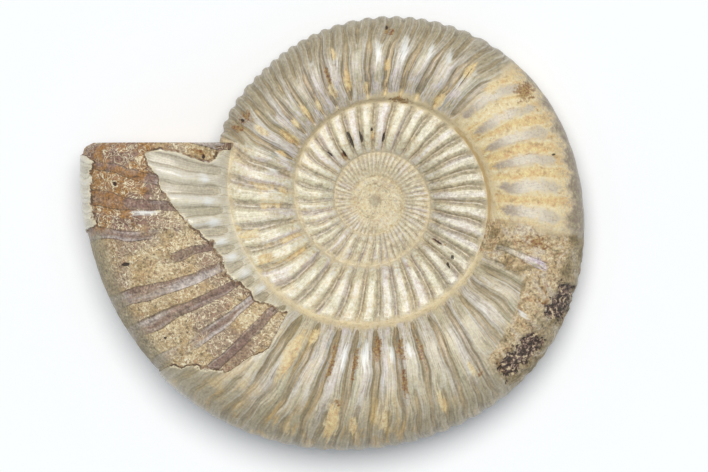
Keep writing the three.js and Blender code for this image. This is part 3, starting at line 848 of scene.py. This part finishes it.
    # Grooves: brown floors and pale outlines. On the inner whorls, a dark thread, painted lilac shade about the
    # groove and a pale thread that is a painted highlight along the crest. On the mouth shell, painted shade lines
    # beside the grooves.
    golden = t.step(streak + thinly * 0.6, 0.46, 0.62) * t.mix(t.step(patch, 0.4, 0.56), 0.3, 1.0)
    floor = t.blend(golden, "olive_groove", "gold_groove")
    outline = t.step(abs(ridge - 0.6), 0.3, 0.08) * t.step(wide_streak, 0.36, 0.5) * lively
    outline = outline * t.mix(share, 0.6, 0.25) * t.ramp(growth, 40.0, 110.0, 1.0, 0.5)
    phase = t.math("FRACT", number) - 0.5 + thinly * 0.1 + mottled * 0.16
    line = t.math("SINE", (number * 12 + patchy * 3 + streaky * 2) * (2 * math.pi))
    shell = t.layers(
        shell,
        (t.step(groove, 0.35, 0.8) * t.curve(growth, GROOVE_TONES) * t.mix(share, 1.0, 0.6), floor),
        (outline, "pearl"),
        # Painted lilac shade about the grooves of the inner whorls.
        (t.step(abs(phase), 0.3, 0.16) * inner_whorl * 0.2, "lilac_shell_and_shade"),
        (t.step(abs(phase + 0.06), 0.08, 0.02) * inner_whorl * t.step(patch, 0.36, 0.52) * 0.55, "dark_thread"),
        (t.step(abs(phase - 0.18), 0.06, 0.02) * t.step(patch, 0.54, 0.42) * inner_whorl * 0.35, "dark_thread"),
        (t.curve(growth, DULL_SHELL) * t.mix(mottle, 0.15, 0.6), "rim_shell"),
        # Painted highlight along the rib crests of the inner whorls.
        (t.step(0.5 - abs(phase), 0.2, 0.05) * t.step(crumbs + patchy, 0.4, 0.6) * inner_whorl * 0.4, "pearl"),
        # Painted shade lines beside the grooves of the mouth shell.
        (t.step(abs(abs(phase) - 0.2), 0.03, 0.01) * t.step(growth, 216.0, 226.0) * 0.35, "brown_streak_and_shade"),
        (0.07, t.blend(line * 0.5 + 0.5, "dark_specks", "cream_lines")))
    contrast = thinly * t.mix(lively, 0.2, 0.45) + streaky * t.mix(lively, 0.15, 0.25)
    contrast = contrast + grainy * t.mix(last, 0.9, 0.6) + crumbly * t.mix(last, 1.0, 0.3)
    shell = t.blend(0.7, shell, contrast + 0.5, "OVERLAY")

    # The stretch of flat worn ribs with ochre stone between them, joined round their outer ends.
    worn = within(*WORN_STRETCH)
    uneven_radius = radius + mottled * 4 * MM
    outer_ends = t.step(uneven_radius, 43.4 * MM, 45.6 * MM)
    venter = t.step(uneven_radius - (1 - to_crest) * 2 * MM, 44.2 * MM, 46.4 * MM)
    worn_rib = t.layers(
        "flat_rib",
        (t.step(reach + mottled * 0.5, 0.5, 0.1), "worn_rib"),
        (t.step(mottle, 0.46, 0.36) * 0.5, "seam_stone"),
        (t.step(grain, 0.52, 0.68) * 0.4, "purple_stone"),
        (t.step(grain, 0.46, 0.36) * 0.45, "cream_lines"))
    worn_rim = t.layers(
        "rim_shell",
        (t.step(crumbs, 0.46, 0.58) * 0.6, "purple_stone"),
        (t.step(crumbs, 0.42, 0.34) * 0.5, "seam_stone"))
    shell = t.layers(shell, (worn * 0.9, worn_rib), (worn * venter, worn_rim))

    # Ochre and cream stone in the grooves.
    from_groove = to_crest + mottled * 0.45 + patchy * 0.4
    speckled = t.step(radius + crumbly * 8 * MM, 43.0 * MM, 47.0 * MM) * worn
    ochre = t.layers(
        "ochre_stone",
        (t.step(wide_streak, 0.42, 0.6), "cream_stone"),
        (t.step(mottle, 0.52, 0.66) * 0.7, "tan_stone"),
        (t.step(grain, 0.6, 0.7) * 0.5, "dark_specks"),
        (t.step(grain, 0.4, 0.32) * 0.5, "cream_lines"),
        (t.step(abs(from_groove - 0.48), 0.14, 0.02) * worn * 0.7, "cream_stone"),
        (speckled * 0.7, t.blend(t.step(crumbs, 0.44, 0.56), "cream_stone", "worn_rib")))
    ochre = t.blend(0.6, ochre, crumbly * 1.3 + grainy + 0.5, "OVERLAY")
    rib_ends = t.ramp(t.smallest(from_seam - 2.2 * MM, 45.2 * MM - radius), 0.0, 2.4 * MM, 1.0, 0.0)
    worn_fill = t.step(from_groove - rib_ends * 0.6 + crumbly * 0.6, 0.8, 0.4)
    worn_fill = t.largest(worn_fill, outer_ends) * (1 - venter) * worn
    thin_fill = t.step(reach, 0.62, 0.3) * t.step(groove, 0.6, 0.9)
    thin_fill = thin_fill * t.step(streak + mottled * 0.4, 0.5, 0.6) * within(*THIN_FILL_STRETCH)
    broad_fill = t.step(groove, 0.3, 0.6) * t.step(patch + mottled * 0.4, 0.5, 0.6) * within(*BROAD_FILL_STRETCH)
    marked = t.step(ochre_mark + mottled * 0.7 + thinly * 0.9, 0.36, 0.66)
    fill = t.largest(t.largest(worn_fill, thin_fill * 0.45), t.largest(marked * 0.9, broad_fill * 0.8))

    # Stone along the seams and in the core.
    band_edge = t.curve(growth, SEAM_STONE_WIDTHS) * MM
    band = t.smallest(from_seam, to_seam + band_edge * 0.4)
    seam = t.step(band + mottled * 2.6 * MM - band_edge, 0.6 * MM, -0.5 * MM)
    seam_line = t.step(abs(from_seam - 0.3 * MM + mottled * 2 * MM), 1.0 * MM, 0.1 * MM) * within(*SEAM_LINE_STRETCH)
    seam_tone = t.layers(
        "seam_stone",
        (t.step(patch, 0.36, 0.6), "cream_stone"),
        (t.step(crumbs, 0.52, 0.64) * 0.6, "tan_stone"),
        (t.step(crumbs, 0.44, 0.36) * 0.4, "cream_lines"),
        (seam_line * 0.75, "seam_line"))
    core = t.step(radius + patchy * 6 * MM + crumbly * 3 * MM, 8.8 * MM, 4.2 * MM)
    core_tone = granular("core_shell", "cream_stone", "tan_stone")
    core_tone = t.blend(0.6, core_tone, crumbly * 1.6 + grainy * 1.4 + 0.5, "OVERLAY")
    core_middle = t.step(radius + crumbly * 3 * MM, 1.9 * MM, 0.9 * MM)
    core_tone = t.blend(core_middle * 0.4, core_tone, "dark_specks")
    tone = t.layers(
        shell,
        (fill, ochre),
        (seam * t.curve(growth, SEAM_STONE_SHARES), seam_tone),
        (core * 0.8, core_tone))

    # Rough matrix, with two ribs still standing out of it.
    from_crest = 1 - to_crest + mottled * 0.3
    standing = t.step(t.smallest(from_seam - 2.6 * MM, 44.0 * MM - radius) + patchy * 9 * MM, 0.0, 1.0 * MM)
    long_rib = t.step(abs(number - LONG_RIB), 0.55, 0.45)
    short_rib = t.step(abs(number - SHORT_RIB), 0.55, 0.45) * t.step(radius, 35 * MM, 34 * MM)
    standing = standing * t.largest(long_rib, short_rib) * t.step(from_crest, 0.5, 0.3)
    crest_tone = t.layers(
        "olive_groove",
        (t.step(from_crest + streaky * 0.5, 0.3, 0.1) * t.ramp(radius, 29 * MM, 38 * MM, 0.3), "flat_rib"),
        (t.step(radius, 36 * MM, 40 * MM) * t.step(thin_streak, 0.4, 0.55), "lilac_pearl_and_sheen"))
    rough_stone = granular("tan_stone", "seam_stone", "brown_stone")
    stone_contrast = grainy * 1.6 + mottled + 0.5
    matrix = t.layers(
        rough_stone,
        (t.step(radius, 46.0 * MM, 49.0 * MM) * 0.6, "rim_shell"),
        (t.step(clouds, 0.5, 0.62) * 0.7, "olive_groove"),
        (t.step(clouds + mottled * 0.3, 0.46, 0.36) * 0.65, "flat_rib"),
        (standing * 0.85, crest_tone))
    tone = t.blend(rough, tone, t.blend(0.7, matrix, stone_contrast, "OVERLAY"))

    # The bare mould: granular stone with curly cream threads, and smooth lilac stripes along the ribs with painted
    # shade along their edges.
    stripe_number = number - 0.2
    stripe_phase = abs(t.math("FRACT", stripe_number + widely * 0.4) - 0.5)
    per_rib = t.combine(t.math("FLOOR", stripe_number) * 9 * MM, side * 0.04 * MM, 0.0)
    present = t.step(t.noise(per_rib, 4 * MM, 1, 33) + patchy * 0.3, 0.4, 0.5)
    stripe_width = 0.06 + t.noise(per_rib, 9 * MM, 2, 34) * 0.28
    stripe = t.step(stripe_phase - stripe_width, 0.02, -0.03) * present
    stripe_edge_shade = t.step(abs(stripe_phase - stripe_width), 0.03, 0.008) * present
    stripe_tone = t.blend(t.step(wide_streak + streaky * 0.6, 0.42, 0.62), "purple_stone", "lilac_shell_and_shade")
    rich = t.step(growth + wander * 0.5, *RICH_START) * t.step(radius + patchy * 8 * MM, *RICH_RADII)
    rich_tone = t.layers(
        "orange_stone",
        (t.step(mottle, 0.4, 0.58), "brown_stone"),
        (t.step(patch + (broad - 0.5), 0.5, 0.56) * 0.8, "purple_stone"),
        (t.step(crumbs, 0.56, 0.64) * 0.6, "dark_specks"))
    curl = abs(t.noise(spot, 2.1 * MM, 2, 31, 0.5, 1.8) - 0.5)
    threads = t.step(curl, 0.036, 0.016) * t.step(patch + mottled * 0.5, 0.38, 0.48) * (1 - stripe * 0.8)
    bare_stone = t.layers(
        rough_stone,
        (t.step(broad + patchy * 0.4, 0.48, 0.62) * 0.6, "purple_stone"),
        (stripe * 0.75, stripe_tone),
        (rich * 0.9, rich_tone),
        (threads * 0.85, "cream_lines"),
        # Painted shade along the edges of the stripes.
        (stripe_edge_shade * 0.6, "dark_specks"),
        (t.step(reach + mottled * 0.1, 0.86, 0.93) * (1 - rich) * 0.75, "rim_shell"))
    broken = t.largest(mould, cut)
    border = t.step(depth, -0.75 * MM, -0.35 * MM) * (1 - mould)
    ledge = t.step(abs(depth - 0.1 * MM), 0.4 * MM, 0.12 * MM)
    tone = t.layers(
        tone,
        (border * t.step(mottle, 0.4, 0.52) * 0.75, "cream_lines"),
        (broken, t.blend(0.7, bare_stone, stone_contrast, "OVERLAY")),
        (ledge * t.step(mottle, 0.36, 0.5) * 0.75, "brown_stone"),
        (ledge * t.step(mottle, 0.48, 0.56) * 0.7, "dark_specks"))

    # Single marks: rust, painted white highlights on partly pale nacre, dark slits and pores, and the dark pits.
    rust_share = t.step(rust_mark + (mottled * 0.8 + streaky * 0.7) + crumbly * 1.6, 0.4, 0.74)
    white_and_glint_share = t.step(white_and_glint_mark + thinly * 0.9 + mottled * 0.4, 0.36, 0.95)
    dark_share = t.step(dark_mark + mottled * 0.9, 0.45, 0.58)
    pit_tone = t.layers(
        "dark_pits",
        (t.step(crumbs, 0.44, 0.55), "purple_stone"),
        (t.step(crumbs, 0.55, 0.62) * 0.85, "cream_stone"))
    tone = t.layers(
        tone,
        (rust_share * 0.85, t.blend(t.step(grain, 0.4, 0.6), "rust", "gold_groove")),
        # The white is a painted highlight, partly pale nacre.
        (white_and_glint_share * 0.8, "white_shell_and_glint"),
        (dark_share * 0.9, "dark_pits"),
        (pits * 0.92, pit_tone))

    # Shell is glossy and stone is matt. Fine lines and grain stand out in the light.
    bare = t.largest(t.largest(rough * (1 - standing), broken), t.largest(pits, core * 0.8))
    stony = t.largest(t.largest(bare, dark_share), t.largest(fill, seam))
    gloss = t.mix(stony, t.mix(mottle, t.mix(lively, 0.22, 0.3), 0.46), t.mix(grain, 0.5, 0.8))
    coat = (1 - stony) * t.mix(lively, 0.35, 0.14) + stripe * broken * 0.3
    relief = (line * 0.03 + thin_streak * lively * 0.08 + streak * lively * 0.12) * (1 - stony)
    relief = relief + grain * stony * 0.4 + mottle * bare * 0.9 + mottle * 0.1 - ledge * 0.8
    bump = t.node("ShaderNodeBump", {"Strength": 0.7, "Distance": 0.35 * MM, "Height": relief})
    shader = t.node("ShaderNodeBsdfPrincipled", {"Base Color": tone, "Roughness": gloss, "Coat Weight": coat,
                                                 "Coat Roughness": 0.2, "Specular IOR Level": 0.4, "Normal": bump})
    t.node("ShaderNodeOutputMaterial", {"Surface": shader})


def number_setting(name, description, default, **more):
    return bpy.props.FloatProperty(name=name, description=description, default=default, **more)


def length_setting(name, description, default):
    return number_setting(name, description, default, unit="LENGTH", subtype="DISTANCE")


def tone_setting(name, description, code):
    """A setting for a colour, with its default given as a code on screen."""
    return bpy.props.FloatVectorProperty(name=name, description=description, subtype="COLOR", min=0, max=1,
                                         default=colour(code)[:3])


class FossilSettings(bpy.types.PropertyGroup):
    """Sizes and colours of the fossil."""

    mouth_half_width: length_setting("Mouth half width", "Half the breadth of the last whorl at its mouth", 15 * MM)
    rib_height: length_setting("Rib height", "Height of the strongest ribs above the smooth section", 0.55 * MM)
    stone_in_middle: length_setting("Stone in the middle", "Thickness of the stone on the core", 1.4 * MM)
    shell_thickness: length_setting("Shell thickness", "Step down from the shell to the bare mould", 0.55 * MM)
    seam_bank: length_setting("Seam bank", "Thickness of the stone banked up along the seams", 1.7 * MM)
    core_shell: tone_setting("Core shell", "Shell of the innermost whorls", "#d0c09a")
    pale_shell: tone_setting("Pale shell", "Shell of the inner whorls", "#d6caa8")
    grey_shell: tone_setting("Grey shell", "Shell of the first half of the last whorl", "#c0b193")
    warm_shell: tone_setting("Warm shell", "Shell of the lower part of the last whorl", "#c6b99c")
    mouth_shell: tone_setting("Mouth shell", "Shell near the mouth", "#e6dcc4")
    rim_shell: tone_setting("Rim shell", "Shell round the rim of the last whorl", "#988b6f")
    green_shell: tone_setting("Green shell", "Greenish tint of the shell", "#b3ae92")
    # Also the painted shade about the grooves of the inner whorls.
    lilac_shell_and_shade: tone_setting("Lilac shell", "Pearly lilac tint of the shell", "#c1b6b0")
    # Also the painted highlight along the rib crests of the inner whorls.
    pearl: tone_setting("Pearl", "Palest pearly streaks", "#e0dccf")
    # Also tints the painted pearly highlight.
    lilac_pearl_and_sheen: tone_setting("Lilac pearl", "Pink and lilac streaks", "#cfc0c8")
    # Bluish tint of the painted pearly highlight.
    blue_sheen: tone_setting("Blue pearl", "Bluish streaks", "#bcc6cc")
    # White of the painted highlights (glints), partly pale nacre.
    white_shell_and_glint: tone_setting("White shell", "Glassy white spots", "#f2f1ea")
    # Also the painted shade lines beside the grooves of the mouth shell.
    brown_streak_and_shade: tone_setting("Brown streak", "Thin brown streaks in the shell", "#84725a")
    dark_thread: tone_setting("Dark thread", "Thin dark lines beside the ribs of the inner whorls", "#85734f")
    olive_groove: tone_setting("Olive groove", "Darker floor of the grooves", "#7b6a48")
    gold_groove: tone_setting("Golden groove", "Lighter floor of the grooves", "#a68852")
    worn_rib: tone_setting("Worn rib", "Inner ends of the flat worn ribs", "#a39280")
    flat_rib: tone_setting("Flat rib", "Flat worn ribs", "#cabda6")
    ochre_stone: tone_setting("Ochre stone", "Stone that fills the grooves", "#d9bc86")
    cream_stone: tone_setting("Cream stone", "Palest stone in the grooves and seams", "#e2cfa4")
    seam_stone: tone_setting("Seam stone", "Stone along the seams", "#d2be97")
    seam_line: tone_setting("Seam line", "Dark ochre line along one stretch of the seam", "#b08d55")
    tan_stone: tone_setting("Tan stone", "Rough stone", "#b59a70")
    brown_stone: tone_setting("Brown stone", "Darker rough stone", "#936f50")
    orange_stone: tone_setting("Orange stone", "Stone beside the mouth", "#a8763c")
    purple_stone: tone_setting("Purple stone", "Purple brown stone", "#84695f")
    rust: tone_setting("Rust", "Red brown stains", "#7d4c2c")
    cream_lines: tone_setting("Cream lines", "Cream threads and grains", "#e4d6b2")
    dark_specks: tone_setting("Dark specks", "Dark grains, cracks and edges", "#4e3d2f")
    dark_pits: tone_setting("Dark pits", "Deepest pits and slits", "#2b211d")


class StageSettings(bpy.types.PropertyGroup):
    """The floor, the light and the camera."""

    floor_tone: tone_setting("Floor tone", "Colour of the floor", "#f6f6f6")
    room_tone: tone_setting("Room tone", "Colour of the light from all round", "#cfdff3")
    lamp_tone: tone_setting("Lamp tone", "Colour of the large lamp", "#fffdf8")
    room_light: number_setting("Room light", "Strength of the light from all round", 0.42, min=0)
    lamp_light: number_setting("Lamp light", "Strength of the large lamp", 2.55, min=0)
    lamp_size: number_setting("Lamp size", "How large the lamp looks from the fossil", math.radians(36),
                              unit="ROTATION", subtype="ANGLE")
    view_width: length_setting("View width", "Width of what the camera sees at the fossil", 167.8 * MM)
    view_distance: length_setting("View distance", "How far the camera stands from the coil", 2.2)


class AMMONITE_OT_fossil(bpy.types.Operator):
    """Makes the coiled shell with its finish, in place of the plain one"""

    bl_idname = "ammonite.fossil"
    bl_label = "Make fossil"

    def execute(self, context):
        settings = context.scene.ammonite_fossil
        material = bpy.data.materials.new("polished_shell_and_stone")
        finish_tree(material, settings)
        tree = coil_tree()
        holder = bpy.data.objects.new("coil_maker", bpy.data.meshes.new("coil_maker"))
        context.scene.collection.objects.link(holder)
        modifier = holder.modifiers.new("coil", "NODES")
        modifier.node_group = tree
        sizes = {"Mouth half width": settings.mouth_half_width, "Rib height": settings.rib_height,
                 "Stone in the middle": settings.stone_in_middle, "Shell thickness": settings.shell_thickness,
                 "Seam bank": settings.seam_bank, "Finish": material}
        for socket in tree.interface.items_tree:
            if socket.in_out == "INPUT":
                modifier[socket.identifier] = sizes[socket.name]
        graph = context.evaluated_depsgraph_get()
        graph.update()
        mesh = bpy.data.meshes.new_from_object(holder.evaluated_get(graph), preserve_all_data_layers=True,
                                               depsgraph=graph)
        mesh.name = "ammonite_fossil"
        bpy.data.objects.remove(holder)
        mark_skin(mesh)
        piece = bpy.data.objects.new("ammonite_fossil", mesh)
        context.scene.collection.objects.link(piece)
        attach(piece, "root")
        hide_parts("ammonite")
        return {"FINISHED"}


class AMMONITE_OT_stage(bpy.types.Operator):
    """Makes the pale floor, the soft light and the camera that looks down along the coil's axis"""

    bl_idname = "ammonite.stage"
    bl_label = "Make stage"

    def execute(self, context):
        settings = context.scene.ammonite_stage
        scene = context.scene
        scene.view_settings.view_transform = "Standard"

        mesh = bpy.data.meshes.new("floor")
        corners = [(x * FLOOR_HALF, y * FLOOR_HALF, 0) for x, y in ((-1, -1), (1, -1), (1, 1), (-1, 1))]
        mesh.from_pydata(corners, [], [(0, 1, 2, 3)])
        floor = bpy.data.objects.new("floor", mesh)
        scene.collection.objects.link(floor)
        plain = bpy.data.materials.new("pale_floor")
        plain.use_nodes = True
        shader = plain.node_tree.nodes["Principled BSDF"]
        shader.inputs["Base Color"].default_value = (*settings.floor_tone, 1)
        shader.inputs["Roughness"].default_value = 0.9
        shader.inputs["Specular IOR Level"].default_value = 0.1
        mesh.materials.append(plain)

        world = bpy.data.worlds.new("soft_room")
        world.use_nodes = True
        sky = world.node_tree.nodes["Background"]
        sky.inputs["Color"].default_value = (*settings.room_tone, 1)
        sky.inputs["Strength"].default_value = settings.room_light
        scene.world = world

        lamp = bpy.data.lights.new("large_soft_lamp", "SUN")
        lamp.energy = settings.lamp_light
        lamp.angle = settings.lamp_size
        lamp.color = settings.lamp_tone
        holder = bpy.data.objects.new("large_soft_lamp", lamp)
        scene.collection.objects.link(holder)
        holder.rotation_euler = Vector(LAMP_FROM).to_track_quat("Z", "Y").to_euler()

        lens = bpy.data.cameras.new("camera")
        camera = bpy.data.objects.new("camera", lens)
        scene.collection.objects.link(camera)
        tip = TIP.to_matrix()
        target = COIL_CENTRE + tip @ Vector(VIEW_CENTRE)
        stand = target + tip @ Vector((0, 0, settings.view_distance))
        camera.matrix_world = Matrix.Translation(stand) @ tip.to_4x4()
        lens.sensor_width = SENSOR_WIDTH
        lens.lens = SENSOR_WIDTH * settings.view_distance / settings.view_width
        lens.clip_start = 0.01
        lens.clip_end = 20
        scene.camera = camera
        return {"FINISHED"}


class AMMONITE_PT_panel(bpy.types.Panel):
    """Lists the pieces that can be made"""

    bl_idname = "AMMONITE_PT_panel"
    bl_label = "Ammonite"
    bl_space_type = "VIEW_3D"
    bl_region_type = "UI"
    bl_category = "Ammonite"

    def draw(self, context):
        for settings, operator in (("ammonite_fossil", "ammonite.fossil"), ("ammonite_stage", "ammonite.stage")):
            box = self.layout.box()
            group = getattr(context.scene, settings)
            for name in group.__annotations__:
                box.prop(group, name)
            box.operator(operator)


CLASSES = (FossilSettings, StageSettings, AMMONITE_OT_fossil, AMMONITE_OT_stage, AMMONITE_PT_panel)


def register():
    for made in CLASSES:
        bpy.utils.register_class(made)
    bpy.types.Scene.ammonite_fossil = bpy.props.PointerProperty(type=FossilSettings)
    bpy.types.Scene.ammonite_stage = bpy.props.PointerProperty(type=StageSettings)


def unregister():
    del bpy.types.Scene.ammonite_stage
    del bpy.types.Scene.ammonite_fossil
    for made in reversed(CLASSES):
        bpy.utils.unregister_class(made)


def main():
    register()
    bpy.ops.ammonite.fossil()
    bpy.ops.ammonite.stage()
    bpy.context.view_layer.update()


if __name__ == "__main__":
    main()
